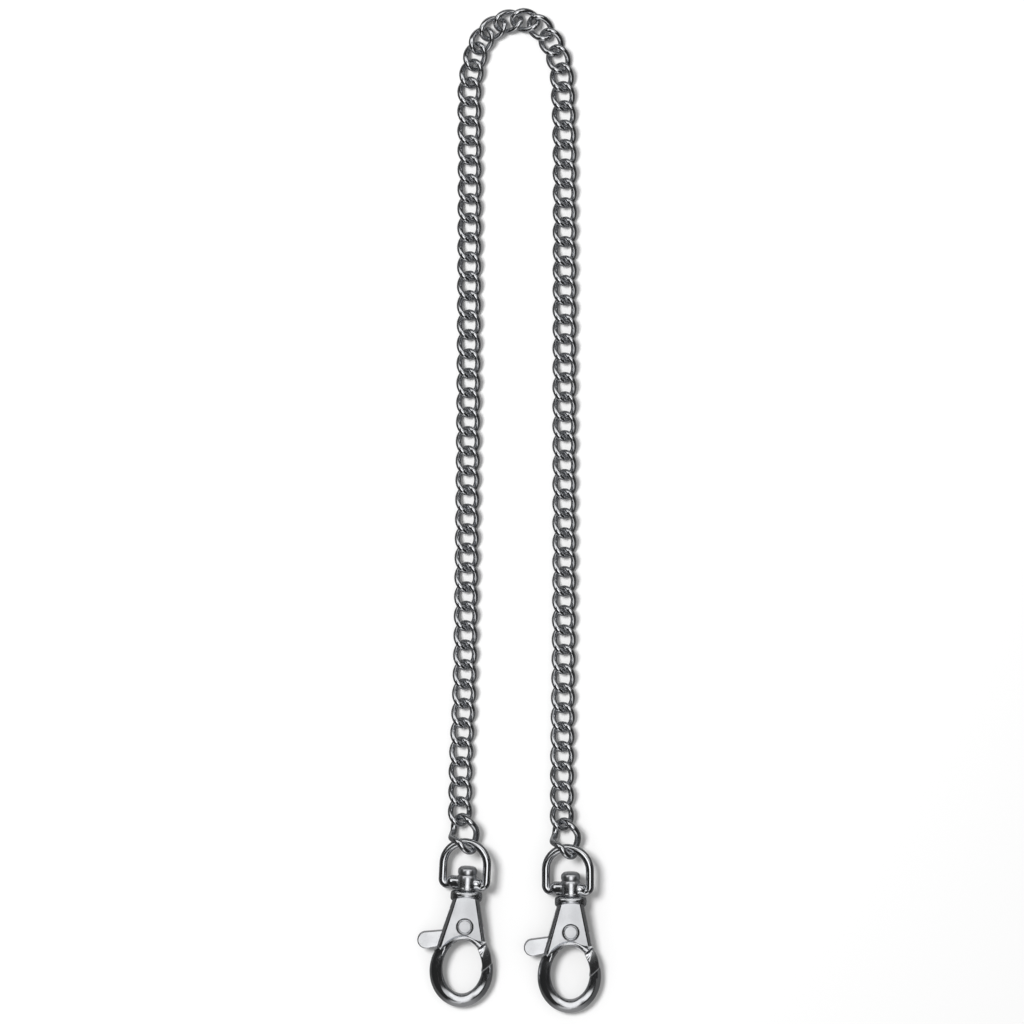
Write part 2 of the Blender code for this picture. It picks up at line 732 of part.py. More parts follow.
def hook(side, materials):
    """One snap hook. Returns the place of the middle of its eye's top."""
    spec = HOOKS[side]
    origin = Vector((spec["at"][0] * MM, spec["at"][1] * MM, HOOK_HEIGHT)) + CENTRE_SHIFT
    turn = Matrix.Rotation(math.radians(spec["turn"]), 4, "Z")
    place = Matrix.Translation(origin) @ turn @ Matrix.Rotation(HOOK_TILT, 4, "X")
    swivel = empty(f"hinge_{side}_swivel", place)
    pivot = empty(f"hinge_{side}_trigger", place @ Matrix.Translation((*PIVOT, 0)))
    top = EYE_ARCH_Y + EYE_HALF_WIDTH
    eye_place = place @ Matrix.Rotation(-EYE_TURN, 4, "Y")
    to_top = Matrix.Translation((EYE_OFFSET, top, 0))
    eye_hinge = empty(f"hinge_{side}_eye", eye_place @ to_top)
    for make, material in (
        (hook_body, materials["body"]),
        (pivot_rivet, materials["steel"]),
        (trigger_spring, materials["steel"]),
        (swivel_pin, materials["plated"]),
    ):
        put(make(side, material), swivel)
    put(trigger(side, materials["body"]), pivot, Matrix.Translation((-PIVOT[0], -PIVOT[1], 0)))
    put(swivel_eye(side, materials["plated"]), eye_hinge, to_top.inverted())
    return eye_hinge.matrix_world.translation.copy()


def main():
    clear_scene()
    materials = {
        "plated": metal("nickel_plate", NICKEL),
        "body": metal("satin_nickel_plate", SATIN_NICKEL),
        "steel": metal("spring_steel", STEEL),
    }
    curve = plan_curve()
    last_links = chain(curve, materials["plated"])
    for side in HOOKS:
        eye_top = hook(side, materials)
        end_link(side, last_links[side], eye_top, materials["plated"])


main()
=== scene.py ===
import json
import math

import bmesh
import bpy
from mathutils import Matrix, Vector

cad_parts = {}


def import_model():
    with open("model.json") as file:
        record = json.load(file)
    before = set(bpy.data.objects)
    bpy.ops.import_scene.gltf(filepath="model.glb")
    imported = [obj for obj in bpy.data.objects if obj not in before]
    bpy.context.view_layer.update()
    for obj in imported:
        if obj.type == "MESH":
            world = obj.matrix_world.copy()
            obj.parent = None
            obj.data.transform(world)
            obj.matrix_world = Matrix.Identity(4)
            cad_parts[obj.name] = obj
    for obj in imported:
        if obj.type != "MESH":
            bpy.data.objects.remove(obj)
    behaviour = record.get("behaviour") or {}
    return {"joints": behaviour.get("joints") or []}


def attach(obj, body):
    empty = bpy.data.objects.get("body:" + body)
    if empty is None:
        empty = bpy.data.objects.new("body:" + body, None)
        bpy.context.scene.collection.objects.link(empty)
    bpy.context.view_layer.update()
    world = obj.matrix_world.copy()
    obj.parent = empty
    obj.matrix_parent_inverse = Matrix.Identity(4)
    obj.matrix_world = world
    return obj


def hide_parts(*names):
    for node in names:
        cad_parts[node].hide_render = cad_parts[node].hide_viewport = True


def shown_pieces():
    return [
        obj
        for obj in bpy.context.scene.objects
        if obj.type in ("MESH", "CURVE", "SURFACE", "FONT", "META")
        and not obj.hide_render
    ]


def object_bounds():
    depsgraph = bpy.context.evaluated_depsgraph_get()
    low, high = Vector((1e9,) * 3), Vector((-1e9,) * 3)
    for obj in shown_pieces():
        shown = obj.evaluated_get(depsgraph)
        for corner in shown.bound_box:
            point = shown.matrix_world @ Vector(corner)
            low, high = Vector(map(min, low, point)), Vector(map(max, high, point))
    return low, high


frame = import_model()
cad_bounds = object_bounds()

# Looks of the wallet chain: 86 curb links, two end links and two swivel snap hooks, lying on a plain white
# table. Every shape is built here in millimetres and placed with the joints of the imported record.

MM = 0.001
UP = Vector((0, 0, 1))
JOINTS = {j["name"]: j for j in frame["joints"]}
SIDES = ("left", "right")
STRAND_PIECES = 19
TRIPLES = {"left": 2, "right": 1}  # strand pieces of three links, next to the end link; the others have two

# Curb links
WIRE_R = 0.65
LINK_HALF_LENGTH = 2.91
LINK_HALF_WIDTH = 2.16
LINK_TWIST = math.radians(-45)
LINK_SQUARENESS = 2.4

# End links
END_WIRE_R = 0.75
END_HALF_LENGTH = 4.3
END_HALF_WIDTH = 2.95
END_TWIST = math.radians(-50)
END_SETTLE = 0.65  # the twist is complete at this share of the half length
END_SLACK = 0.30
END_ROLL = math.radians(-7)

# Swivel
EYE_TURN = math.radians(12)
EYE_WIRE_R = 0.93
EYE_HALF_WIDTH = 5.15
EYE_OFFSET = -0.65
EYE_BAR_Y = 1.0
EYE_ARCH_Y = 5.95
EYE_CORNER_R = 1.3
EYE_FLARE = 0.72  # how much thicker the bar gets next to the boss, as a share of its wire
BOSS_R = 2.30
PIN_R = 1.30

# Hook body
BODY_TOP = (3.0, -1.9)
EYELET_OUTER = (-0.3, -18.6, 7.3, 8.5)
EYELET_INNER = (-0.1, -17.9, 4.55, 6.15)
TANGENT_LEFT = math.radians(166)
FACE_ARCH = 0.72  # rise of the face's round top
FACE_LIFT = 0.035  # slope of the flat face towards the collar
FACE_LEVEL_AT = -11.0
RIGHT_CORNER = (4.95, -11.5)
BEAD_WIDTH = 1.5  # from the opening to the lower edge of the face
BEAD_REACH = 2.2  # width of the ring where it is a bead under the face
BODY_END = (4.88, -11.70)  # outer end of the body's lower right edge
RING_END = math.radians(48)  # where the ring's band ends, next to the gate
NOSE_OUTER = math.radians(14)
NOSE_INNER = math.radians(-7)
PIVOT = (0.0, -8.15)
COLLAR_R = 3.65
SLOT_HALF = 1.12  # half the width of the trigger's slot in the body
SLOT_HUB_R = 3.1
TAB_ROOT = (-3.0, -10.85, 1.65)
TAB_END = (-8.8, -11.9, 1.95)
TAB_HALF_THICK = 1.0
ARM_HUB = (*PIVOT, 2.45)
ARM_END = (4.85, -13.1, 0.8)
ARM_HALF_THICK = 0.60
RIVET_CORE_SHIFT = 0.20  # the rivet's tail sits this far off its axis, in its hollow
SPRING_R = 1.6
SPRING_WIRE_R = 0.17
SPRING_PITCH = 0.38
SPRING_TURNS = 2.25
GATE_GAP = 0.22
GATE_COLUMNS = 18
GATE_TOP = (3.19, -13.36)  # where the gate's inner edge starts, next to the body

# Metal
WORN = 0.25  # how far the fine marks darken the plating

# Stage
FLOOR_SIZE = 6.0
FLOOR_SHADE = 0.86
FLOOR_IN_METAL = (0.26, 0.03, 0.92)  # the table in the metal: brightness below and sideways, and share
# Soft boxes seen in the metal: direction, half widths along x and y, and strength
SOFT_BOXES = [
    ((0.08, -0.02, 0.99), (0.33, 0.44), 1.85),
    ((0.05, -0.82, 0.57), (0.22, 0.26), 1.10),
    ((-0.66, 0.32, 0.68), (0.17, 0.26), 1.30),
    ((-0.05, 0.64, 0.77), (0.80, 0.20), 1.25),
    ((0.62, 0.40, 0.68), (0.20, 0.30), 0.80),
    ((0.00, -1.00, 0.06), (0.50, 0.22), 0.60),
]
ROOM = 0.022  # light of the room around the soft boxes, seen in the metal
AMBIENT = 0.50  # light of the room on the floor
KEY_AT = (-0.38, 0.20, 0.92)
KEY_SIZE = 0.36
KEY_POWER = 9.0
CAMERA_HEIGHT = 1.0
FIELD_WIDTH = 0.2355
LOOK_AT = (0.00065, -0.00055)


def smooth(value, low, high):
    share = max(0.0, min(1.0, (value - low) / (high - low)))
    return share * share * (3 - 2 * share)


def mix(a, b, share):
    return a + (b - a) * share


# Meshes


def mesh_from_rings(name, rings, closed=False, sharp=35):
    """A closed mesh from rings of points in millimetres, each joined to the next."""
    made = bmesh.new()
    rows = [[made.verts.new(Vector(point) * MM) for point in ring] for ring in rings]
    pairs = list(zip(rows, rows[1:]))
    if closed:
        pairs.append((rows[-1], rows[0]))
    for low, high in pairs:
        for i in range(len(low)):
            j = (i + 1) % len(low)
            made.faces.new((low[i], low[j], high[j], high[i]))
    if not closed:
        made.faces.new(reversed(rows[0]))
        made.faces.new(rows[-1])
    bmesh.ops.recalc_face_normals(made, faces=made.faces)
    data = bpy.data.meshes.new(name)
    made.to_mesh(data)
    made.free()
    finish_mesh(data, sharp)
    return data


def finish_mesh(data, sharp=35, flat=None):
    """Smooth shading with sharp edges; with flat, faces this near to level also get a sharp outline."""
    data.shade_smooth()
    data.set_sharp_from_angle(angle=math.radians(sharp))
    if flat:
        made = bmesh.new()
        made.from_mesh(data)
        made.normal_update()
        for edge in made.edges:
            level = [abs(face.normal.z) > flat for face in edge.link_faces]
            if any(level) and not all(level):
                edge.smooth = False
        made.to_mesh(data)
        made.free()


def place(name, data, matrix, material, body, nodes=()):
    obj = bpy.data.objects.new(name, data)
    bpy.context.scene.collection.objects.link(obj)
    obj.matrix_world = matrix
    data.materials.clear()
    data.materials.append(material)
    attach(obj, body)
    if nodes:
        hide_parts(*nodes)
    return obj


def boolean(base, others):
    """The base mesh joined with or cut by other meshes: others holds (operation, mesh) pairs."""
    scene = bpy.context.scene.collection
    holder = bpy.data.objects.new("holder", base)
    scene.objects.link(holder)
    tools = [holder]
    for operation, data in others:
        tool = bpy.data.objects.new("tool", data)
        scene.objects.link(tool)
        tools.append(tool)
        step = holder.modifiers.new(operation, "BOOLEAN")
        step.operation = operation
        step.object = tool
        step.solver = "EXACT"
    bpy.context.view_layer.update()
    graph = bpy.context.evaluated_depsgraph_get()
    result = bpy.data.meshes.new_from_object(holder.evaluated_get(graph))
    for tool in tools:
        bpy.data.objects.remove(tool)
    return result


def circle(radius, steps):
    return [
        (radius * math.cos(a), radius * math.sin(a))
        for a in (2 * math.pi * i / steps for i in range(steps))
    ]


def swept(name, line, radius_at, sides, lean, closed=True):
    """A bar of round section along a line; lean(i) gives a direction for the section's first corner."""
    rings = []
    count = len(line)
    for i, point in enumerate(line):
        ahead = line[(i + 1) % count] if closed else line[min(i + 1, count - 1)]
        behind = line[i - 1] if closed else line[max(i - 1, 0)]
        along = (ahead - behind).normalized()
        out = lean(i)
        out = (out - along * out.dot(along)).normalized()
        across = along.cross(out)
        rings.append([point + out * a + across * b for a, b in circle(radius_at(i), sides)])
    return mesh_from_rings(name, rings, closed, sharp=50)


def rounded(profile, steps=3, share=0.35):
    """The profile with each inner corner cut to a short curve."""
    points = [Vector(profile[0])]
    for before, here, after in zip(profile, profile[1:], profile[2:]):
        before, here, after = Vector(before), Vector(here), Vector(after)
        start, end = here.lerp(before, share), here.lerp(after, share)
        for i in range(steps + 1):
            t = i / steps
            points.append(start.lerp(here, t).lerp(here.lerp(end, t), t))
    points.append(Vector(profile[-1]))
    return [tuple(p) for p in points]


def turned(name, profile, steps=48, sharp=35):
    """A solid turned about y from (radius, y) pairs."""
    rings = [[(x, y, z) for x, z in circle(radius, steps)] for radius, y in profile]
    return mesh_from_rings(name, rings, sharp=sharp)


def disc(name, profile, centre, steps=40, sharp=35):
    """A solid turned about an axis along z through centre, from (radius, z) pairs."""
    rings = [
        [(centre[0] + x, centre[1] + y, z) for x, y in circle(radius, steps)]
        for radius, z in profile
    ]
    return mesh_from_rings(name, rings, sharp=sharp)


def inset(outline, distances):
    """An anticlockwise outline moved inwards by a distance for each point."""
    moved = []
    for i, point in enumerate(outline):
        before, here = Vector(outline[i - 1]), Vector(point)
        after = Vector(outline[(i + 1) % len(outline)])
        first, second = (here - before).normalized(), (after - here).normalized()
        normal = Vector((-first.y - second.y, first.x + second.x)).normalized()
        lean = max(0.6, normal.dot(Vector((-first.y, first.x))))
        moved.append(here + normal * distances[i] / lean)
    return moved


def slab(name, outline, half_thick, edge=0.0):
    """A plate with this outline and, on both faces, an edge rounded by this much."""
    levels = [(-half_thick, 0), (half_thick, 0)]
    if edge:
        levels = []
        for i in range(4):
            a = math.pi / 2 * i / 3
            levels.append((-half_thick + edge * (1 - math.sin(a)), edge * (1 - math.cos(a))))
        levels = levels[::-1] + [(-z, d) for z, d in levels]
    rings = []
    for z, distance in levels:
        ring = inset(outline, [distance] * len(outline))
        rings.append([(p[0], p[1], z) for p in ring])
    return mesh_from_rings(name, rings)


def ellipse_point(oval, angle):
    x, y, a, b = oval
    return x + a * math.cos(angle), y + b * math.sin(angle)


def arc(oval, start, end, steps):
    return [ellipse_point(oval, mix(start, end, i / steps)) for i in range(steps + 1)]


def pivot_circle(radius):
    return (*PIVOT, radius, radius)


def frame_at(origin, x_axis, z_axis):
    """A place with this x axis and, as nearly as that allows, this z axis."""
    x = x_axis.normalized()
    y = z_axis.cross(x).normalized()
    rotation = Matrix((x, y, x.cross(y))).transposed()
    return Matrix.Translation(origin) @ rotation.to_4x4()


def at(joint):
    return Vector(JOINTS[joint]["pos_m"])


# Chain


def link_line(half_length, half_width, count, end_twist, settle=None):
    """Centre line of a curb link: an oval along x, turned about x from one end to the other."""
    points = []
    for i in range(count):
        angle = 2 * math.pi * i / count
        c, s = math.cos(angle), math.sin(angle)
        grow = (abs(c) ** LINK_SQUARENESS + abs(s) ** LINK_SQUARENESS) ** (-1 / LINK_SQUARENESS)
        along, wide = half_length * grow * c, half_width * grow * s
        share = along / half_length
        if settle:
            share = math.sin(max(-1.0, min(1.0, share / settle)) * math.pi / 2)
        twist = end_twist * share
        points.append(Vector((along, wide * math.cos(twist), wide * math.sin(twist))))
    return points


def link_mesh(name, line, radius, sides):
    return swept(name, line, lambda i: radius, sides, lambda i: line[i])


def chain(material):
    """The curb links: each strand body carries two or three, spread evenly between its two hinges."""
    line = link_line(LINK_HALF_LENGTH, LINK_HALF_WIDTH, 52, LINK_TWIST)
    link = link_mesh("curb_link", line, WIRE_R, 16)
    for side in SIDES:
        number = 0
        ends = ["end_link_swing"] + [f"strand_bend_{n:02d}" for n in range(1, STRAND_PIECES + 1)]
        for n in range(STRAND_PIECES):
            low, high = at(f"{side}_{ends[n]}"), at(f"{side}_{ends[n + 1]}")
            count = 3 if n < TRIPLES[side] else 2
            for k in range(count):
                number += 1
                middle = low.lerp(high, (k + 0.5) / count)
                matrix = frame_at(middle, high - low, UP)
                node = f"{side}_chain_{n + 1:02d}"
                name = f"{side}_curb_{number:02d}"
                place(name, link, matrix, material, f"{side}_strand_{n + 1:02d}", [node])
    hinges = [f"left_strand_bend_{STRAND_PIECES}"]
    hinges += [f"left_crown_bend_{n}" for n in (3, 2, 1)]
    hinges += [f"right_crown_bend_{n}" for n in (1, 2, 3)]
    hinges += [f"right_strand_bend_{STRAND_PIECES}"]
    for n, (first, second) in enumerate(zip(hinges, hinges[1:])):
        low, high = at(first), at(second)
        matrix = frame_at((low + high) / 2, high - low, UP)
        place(
            f"crown_curb_{n + 1}", link, matrix, material, f"crown_{n + 1}",
            [f"crown_link_{n + 1}"],
        )


def end_link(side, material):
    """The larger link that hangs in the last curb link and holds the swivel eye."""
    low, high = at(f"{side}_end_link_swing"), at(f"{side}_eye_swing")
    away = (high - low).normalized()
    centre = low + away * (END_HALF_LENGTH - END_WIRE_R - END_SLACK) * MM
    matrix = frame_at(centre, away, UP) @ Matrix.Rotation(END_ROLL, 4, "X")
    line = link_line(END_HALF_LENGTH, END_HALF_WIDTH, 72, END_TWIST, END_SETTLE)
    data = link_mesh("end_link", line, END_WIRE_R, 20)
    place(f"{side}_end_ring", data, matrix, material, f"{side}_end", [f"{side}_end_link"])


# Hook


def ring_section(width, top, crest):
    """Front half of the ring's section, from its inner edge outwards, as (distance, z) pairs.

    top is 1 over the top of the opening, where the band is a bead under the flat face, and 0 round the rest.
    crest is the distance of the band's ridge from the inner edge."""
    band = [
        (0.0, 0.80), (0.14, 1.06), (crest * 0.30, 1.40), (crest - 0.10, 1.81), (crest - 0.01, 1.78),
        (crest + 0.06, 1.60), (crest + 0.20, 1.56), (mix(crest, width, 0.55), 0.96),
        (width - 0.10, 0.34), (width, 0.16),
    ]
    wide = max(1.0, width / BEAD_REACH)
    bead = [
        (0.0, 0.55), (0.10, 0.80), (0.62, 1.46), (0.82, 1.62), (1.04 * wide, 1.68),
        (1.26 * wide, 1.62), (1.42 * wide, 1.32), (1.55 * wide, 1.20), (width - 0.12, 1.02), (width, 0.90),
    ]
    return [(mix(a, c, top), mix(b, d, top)) for (a, b), (c, d) in zip(band, bead)]


def ring_mesh(name):
    """The band round the hook's opening, from the nose round the bottom and the left side to the gate."""
    rings = []
    steps = 110
    start, end = NOSE_INNER, RING_END - 2 * math.pi
    for i in range(steps + 1):
        angle = mix(start, end, i / steps)
        inner = Vector(ellipse_point(EYELET_INNER, angle))
        turn = math.degrees(angle) % 360
        # The nose is cut slantwise: its outer edge reaches further than its inner edge
        outer_angle = angle + (NOSE_OUTER - NOSE_INNER) * (1 - smooth(i / steps, 0.0, 0.16))
        outer = Vector(ellipse_point(EYELET_OUTER, outer_angle))
        # From the left side on, the band turns into the bead under the face
        over = 1 - smooth(turn, 128, 158) if turn < 200 else 0.0
        crest = mix(0.75, 1.55, smooth(turn, 140, 250))
        short = inner + (outer - inner).normalized() * BEAD_REACH
        outer = outer.lerp(short, smooth(over, 0.0, 0.8))
        outer = outer.lerp(Vector(BODY_END), smooth(i / steps, 0.90, 1.0))
        across = outer - inner
        width = across.length
        across.normalize()
        front = ring_section(width, over, crest)
        section = [(inner + across * d, z) for d, z in front]
        section += [(inner + across * d, -z) for d, z in reversed(front)]
        rings.append([(p.x, p.y, z) for p, z in section])
    return mesh_from_rings(name, rings, sharp=28)


def face_outline():
    """The shank: a flat face between bevelled sides, whose lower edge is two arcs that meet under the rivet.

    Returns five runs of (point, weight): left side, bead, lower right arc, right side and round top.
    The weight is near 1 where the broad side bevel runs and 0 where the edge is nearly upright."""
    half, top = BODY_TOP
    left_foot = Vector(ellipse_point(EYELET_OUTER, TANGENT_LEFT))
    corner = Vector(RIGHT_CORNER)
    left = [
        (Vector((-half, top)).lerp(left_foot, i / 14), mix(0.85, 1.35, i / 12)) for i in range(13)
    ]
    x, y, a, b = EYELET_INNER
    oval = (x, y, a + BEAD_WIDTH, b + BEAD_WIDTH)
    bead = []
    for i in range(17):
        point = Vector(ellipse_point(oval, math.radians(mix(148, 98, i / 16))))
        bead.append((point, 0.3 * (1 - smooth(i / 16, 0.0, 0.2))))
    under = Vector(ellipse_point(oval, math.radians(82)))
    bend = Vector((mix(under.x, corner.x, 0.42), corner.y + 0.02))
    low = []
    for i in range(17):
        t = i / 16
        low.append((under.lerp(bend, t).lerp(bend.lerp(corner, t), t), 0.0))
    right = [(corner.lerp(Vector((half, top)), i / 12), 1.0) for i in range(1, 13)]
    arch = []
    for i in range(1, 24):
        t = i / 24
        arch.append((Vector((mix(half, -half, t), top + FACE_ARCH * math.sin(math.pi * t) ** 0.8)), 0.0))
    return left, bead, low, right, arch


def crossing(line, first, second):
    """Where a polyline first crosses a line through two points: the last index before that, and the point."""
    along = second - first
    side = [along.cross(point - first) for point in line]
    for i in range(len(line) - 1):
        if side[i] * side[i + 1] <= 0 and side[i] != side[i + 1]:
            return i, line[i].lerp(line[i + 1], side[i] / (side[i] - side[i + 1]))
    return len(line) - 2, line[-1]


def spread(line, count):
    """The polyline with this many points, evenly spaced."""
    lengths = [0.0]
    for before, after in zip(line, line[1:]):
        lengths.append(lengths[-1] + (after - before).length)
    points, k = [], 0
    for i in range(count):
        target = lengths[-1] * i / (count - 1)
        while k < len(line) - 2 and lengths[k + 1] < target:
            k += 1
        step = lengths[k + 1] - lengths[k]
        points.append(line[k].lerp(line[k + 1], (target - lengths[k]) / step if step else 0.0))
    return points


def shank_mesh(name):
    """The shank, the same in front and behind."""
    runs = face_outline()
    shape = [pair for run in runs for pair in run]
    points = [tuple(point) for point, weight in shape]
    ends = []
    for run in runs:
        ends.append((ends[-1] if ends else 0) + len(run))
    levels = [  # height, inset of the bevelled sides, inset of the other edges
        (0.85, 0.0, 0.0),
        (1.20, 0.14, 0.02),
        (1.88, 0.62, 0.06),
        (2.02, 0.76, 0.10),
        (2.10, 0.92, 0.17),
    ]
    rings = []
    for z, side, low in levels:
        ring = inset(points, [mix(low, side, weight) for point, weight in shape])
        if side:
            # Each corner is where the moved edges cross, and the edges are divided evenly again
            left, lower = ring[:ends[0]], ring[ends[1]:ends[2]]
            right, arch = ring[ends[2]:ends[3]], ring[ends[3]:]
            lower[-1] = lower[-2] * 2 - lower[-3]
            lower.append(lower[-1] * 2 - lower[-2])
            last, foot = crossing(lower, right[1], right[2])
            lower = spread(lower[:last + 1] + [foot], ends[2] - ends[1])
            arch = [arch[0] * 2 - arch[1]] + arch + [arch[-1] * 2 - arch[-2]]
            first, right_top = crossing(arch, right[1], right[2])
            last, left_top = crossing(arch[first + 1:], left[2], left[3])
            arch = [right_top] + arch[first + 1:first + 2 + last] + [left_top]
            arch = spread(arch, ends[4] - ends[3] + 2)[1:-1]
            right = spread([foot, right_top], ends[3] - ends[2] + 1)[1:]
            left = [left_top] + left[1:]
            ring = left + ring[ends[0]:ends[1]] + lower + right + arch
        rings.append([(p[0], p[1], z + (0.0 if z < 1.0 else lift_at(p[1]))) for p in ring])
    back = [[(x, y, -z) for x, y, z in ring] for ring in reversed(rings)]
    return mesh_from_rings(name, back + rings, sharp=24)


def lift_at(y):
    """The flat face rises a little towards the collar."""
    return FACE_LIFT * (y - FACE_LEVEL_AT)


def collar_mesh(name):
    """The collar: round behind, lower and domed in front."""
    levels = [  # y, half width, half depth in front
        (0.0, 2.75, 1.60),
        (-0.06, 3.05, 1.90),
        (-0.20, 3.34, 2.14),
        (-0.40, 3.54, 2.32),
        (-0.62, 3.62, 2.38),
        (-1.00, COLLAR_R, 2.38),
        (-1.20, COLLAR_R, 2.30),
        (-1.45, COLLAR_R, 2.10),
        (-2.00, 3.62, 2.00),
        (-2.35, 3.42, 1.90),
        (-2.62, 2.95, 1.75),
        (-3.20, 2.40, 1.60),
    ]
    rings = []
    for y, wide, deep in levels:
        rings.append([(x * wide, y, z * (deep if z > 0 else wide)) for x, z in circle(1, 56)])
    return mesh_from_rings(name, rings, sharp=30)


def fan(start, end, radius):
    """A sector round the pivot, which the trigger needs in the body for its turn."""
    flare = math.radians(75)
    hub = pivot_circle(SLOT_HUB_R)
    outline = arc(pivot_circle(radius), start, end, 10)
    return outline + [ellipse_point(hub, end + flare), ellipse_point(hub, start - flare)]


def body_mesh(name):
    """The casting: ring, shank and collar, with the slot of the trigger."""
    cutters = [
        slab("slot_hub", arc(pivot_circle(SLOT_HUB_R), 0, 2 * math.pi * 31 / 32, 31), SLOT_HALF),
        slab("slot_left", fan(math.radians(150), math.radians(218.5), 10.5), SLOT_HALF),
        slab("slot_right", fan(math.radians(-112), math.radians(-22), 7.4), SLOT_HALF),
    ]
    parts = [("UNION", shank_mesh("shank")), ("UNION", collar_mesh("collar"))]
    parts += [("DIFFERENCE", data) for data in cutters]
    data = boolean(ring_mesh(name), parts)
    finish_mesh(data, 28, 0.997)
    return data


def blend_outline(first, second, steps=20):
    """Anticlockwise outline round two circles (x, y, radius)."""
    outline = []
    for here, other in ((first, second), (second, first)):
        x, y, r = here
        start = tangent_angle(other, here)
        sweep = (tangent_angle(here, other) - start) % (2 * math.pi)
        outline += arc((x, y, r, r), start, start + sweep, steps)
    return outline


def tangent_angle(first, second):
    dx, dy = second[0] - first[0], second[1] - first[1]
    return math.atan2(dy, dx) - math.acos((first[2] - second[2]) / math.hypot(dx, dy))


def gate_mesh(name):
    """The gate: a bar that closes the ring, ridged along its front, with a lip over the nose."""
    # Both long edges run from the body to the nose, and stop GATE_GAP short of it
    tip_outer = Vector(ellipse_point(EYELET_OUTER, NOSE_OUTER))
    tip_inner = Vector(ellipse_point(EYELET_INNER, NOSE_INNER))
    across = tip_outer - tip_inner
    back = Vector((-across.y, across.x)).normalized() * GATE_GAP
    corner = Vector(RIGHT_CORNER)
    rows = 40
    side_length = (tip_outer - corner).length
    rings = []
    for i in range(rows + 1):
        t = i / rows
        inner = Vector(ellipse_point(EYELET_INNER, mix(math.radians(34), NOSE_INNER, smooth(t, 0.02, 1.0))))
        inner = Vector(GATE_TOP).lerp(inner, smooth(t, 0.0, 0.14))
        outer = (corner + Vector((0.02, -0.23))).lerp(tip_outer, t)
        outer += Vector((0.28, 0.06)) * math.sin(math.pi * t)
        inner += back * smooth(t, 0.5, 1.0)
        outer += back * smooth(t, 0.5, 1.0)
        side = outer - inner
        line = []
        for k in range(GATE_COLUMNS + 1):
            share = k / GATE_COLUMNS
            # The front is the lowest of four slopes, and its two long edges are broken
            near_edge = min(share, 1 - share) * side.length
            down = side_length * t
            ramp = min(0.72 + 1.3 * down, 1.08 + 0.50 * down)
            crown = 1.90 - 0.95 * max(0.0, share - 0.16)
            inner_bevel = 1.62 + 1.7 * share
            end = 1.88 - 0.55 * smooth(t, 0.88, 1.0)
            broken = 0.32 * (1 - smooth(near_edge, 0.0, 0.10))
            height = min(ramp, crown, inner_bevel, end) - broken
            line.append((inner + side * share, height))
        line += [(point, -z) for point, z in reversed(line)]
        rings.append([(p.x, p.y, z) for p, z in line])
    return mesh_from_rings(name, rings, sharp=24)


def trigger_mesh(name):
    """The trigger: thumb tab, the arm round the rivet, and the gate."""
    tab = slab(name, blend_outline(TAB_ROOT, TAB_END), TAB_HALF_THICK, 0.24)
    arm = slab("arm", blend_outline(ARM_HUB, ARM_END), ARM_HALF_THICK)
    hole = disc("hole", [(1.1, -3), (1.1, 3)], PIVOT)
    data = boolean(tab, [("UNION", arm), ("UNION", gate_mesh("gate")), ("DIFFERENCE", hole)])
    finish_mesh(data, 28, 0.997)
    return data


def rivet_mesh(name):
    """A tubular rivet: its rolled rim and hollow in front, and a low round head behind."""
    profile = [
        (0.4, -2.55), (1.2, -2.52), (1.75, -2.40), (1.97, -2.22), (1.97, -2.12), (1.0, -2.12),
        (1.0, 2.12), (2.06, 2.12), (2.00, 2.20), (1.72, 2.46), (1.56, 2.52), (1.42, 2.47),
        (1.34, 2.20), (1.28, 1.30), (0.76, 0.94), (0.68, 1.26), (0.56, 1.36), (0.3, 1.46), (0.1, 1.48),
    ]
    rings = []
    for radius, z in rounded(profile, 2, 0.3):
        lift = math.copysign(lift_at(PIVOT[1]), z)
        low = RIVET_CORE_SHIFT * smooth(1.22 - radius, 0.0, 0.25) if z > 0 else 0.0
        rings.append([(PIVOT[0] + x, PIVOT[1] + y - low, z + lift) for x, y in circle(radius, 44)])
    return mesh_from_rings(name, rings, sharp=45)


def spring_mesh(name):
    """The torsion spring: coils round the rivet with two straight ends."""
    per_turn = 28
    first = math.radians(100)
    points = []
    for i in range(round(SPRING_TURNS * per_turn) + 1):
        a = first + 2 * math.pi * i / per_turn
        x, y = ellipse_point(pivot_circle(SPRING_R), a)
        points.append(Vector((x, y, 0.12 + SPRING_PITCH * i / per_turn)))
    last = first + 2 * math.pi * SPRING_TURNS
    points.insert(0, points[0] + Vector((math.cos(first), math.sin(first), 0)))
    points.append(points[-1] + Vector((math.cos(last), math.sin(last), 0)) * 1.2)
    return swept(name, points, lambda i: SPRING_WIRE_R, 10, lambda i: UP, closed=False)


